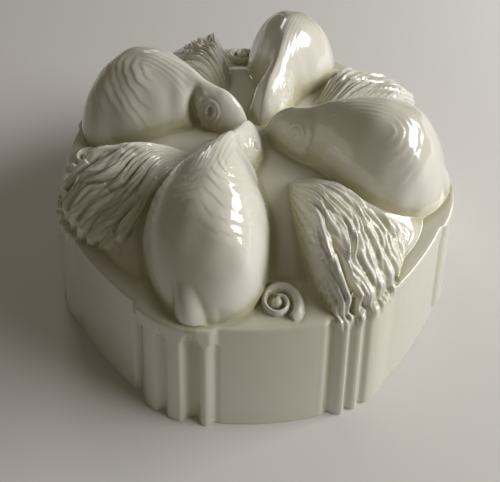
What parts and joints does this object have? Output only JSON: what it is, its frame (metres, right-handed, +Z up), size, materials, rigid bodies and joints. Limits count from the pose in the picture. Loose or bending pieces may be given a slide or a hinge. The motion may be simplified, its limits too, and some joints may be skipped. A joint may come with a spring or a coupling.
{
  "type": "ceramic jelly mould",
  "caption": "Octagonal cream-glazed earthenware jelly mould, mouth down, its crown formed of four game birds, grass tufts and fern scrolls.",
  "frame": {"origin": "centre of the mouth, in the plane of its rim, on the surface that the mould stands on", "axes": "+Z up from the mouth to the birds' backs; -Y out through the middle of a panel that has a fern scroll above it"},
  "size_m": [0.1504, 0.1504, 0.0743],
  "materials": {
    "cream_glaze": "gloss"
  },
  "bodies": {
    "root": {"wall": "cream_glaze", "crown": "cream_glaze", "bird_1": "cream_glaze", "bird_2": "cream_glaze", "bird_3": "cream_glaze", "bird_4": "cream_glaze", "grass_tuft_1": "cream_glaze", "grass_tuft_2": "cream_glaze", "grass_tuft_3": "cream_glaze", "grass_tuft_4": "cream_glaze", "fern_scroll_1": "cream_glaze", "fern_scroll_2": "cream_glaze", "fern_scroll_3": "cream_glaze", "fern_scroll_4": "cream_glaze"}
  },
  "joints": []
}
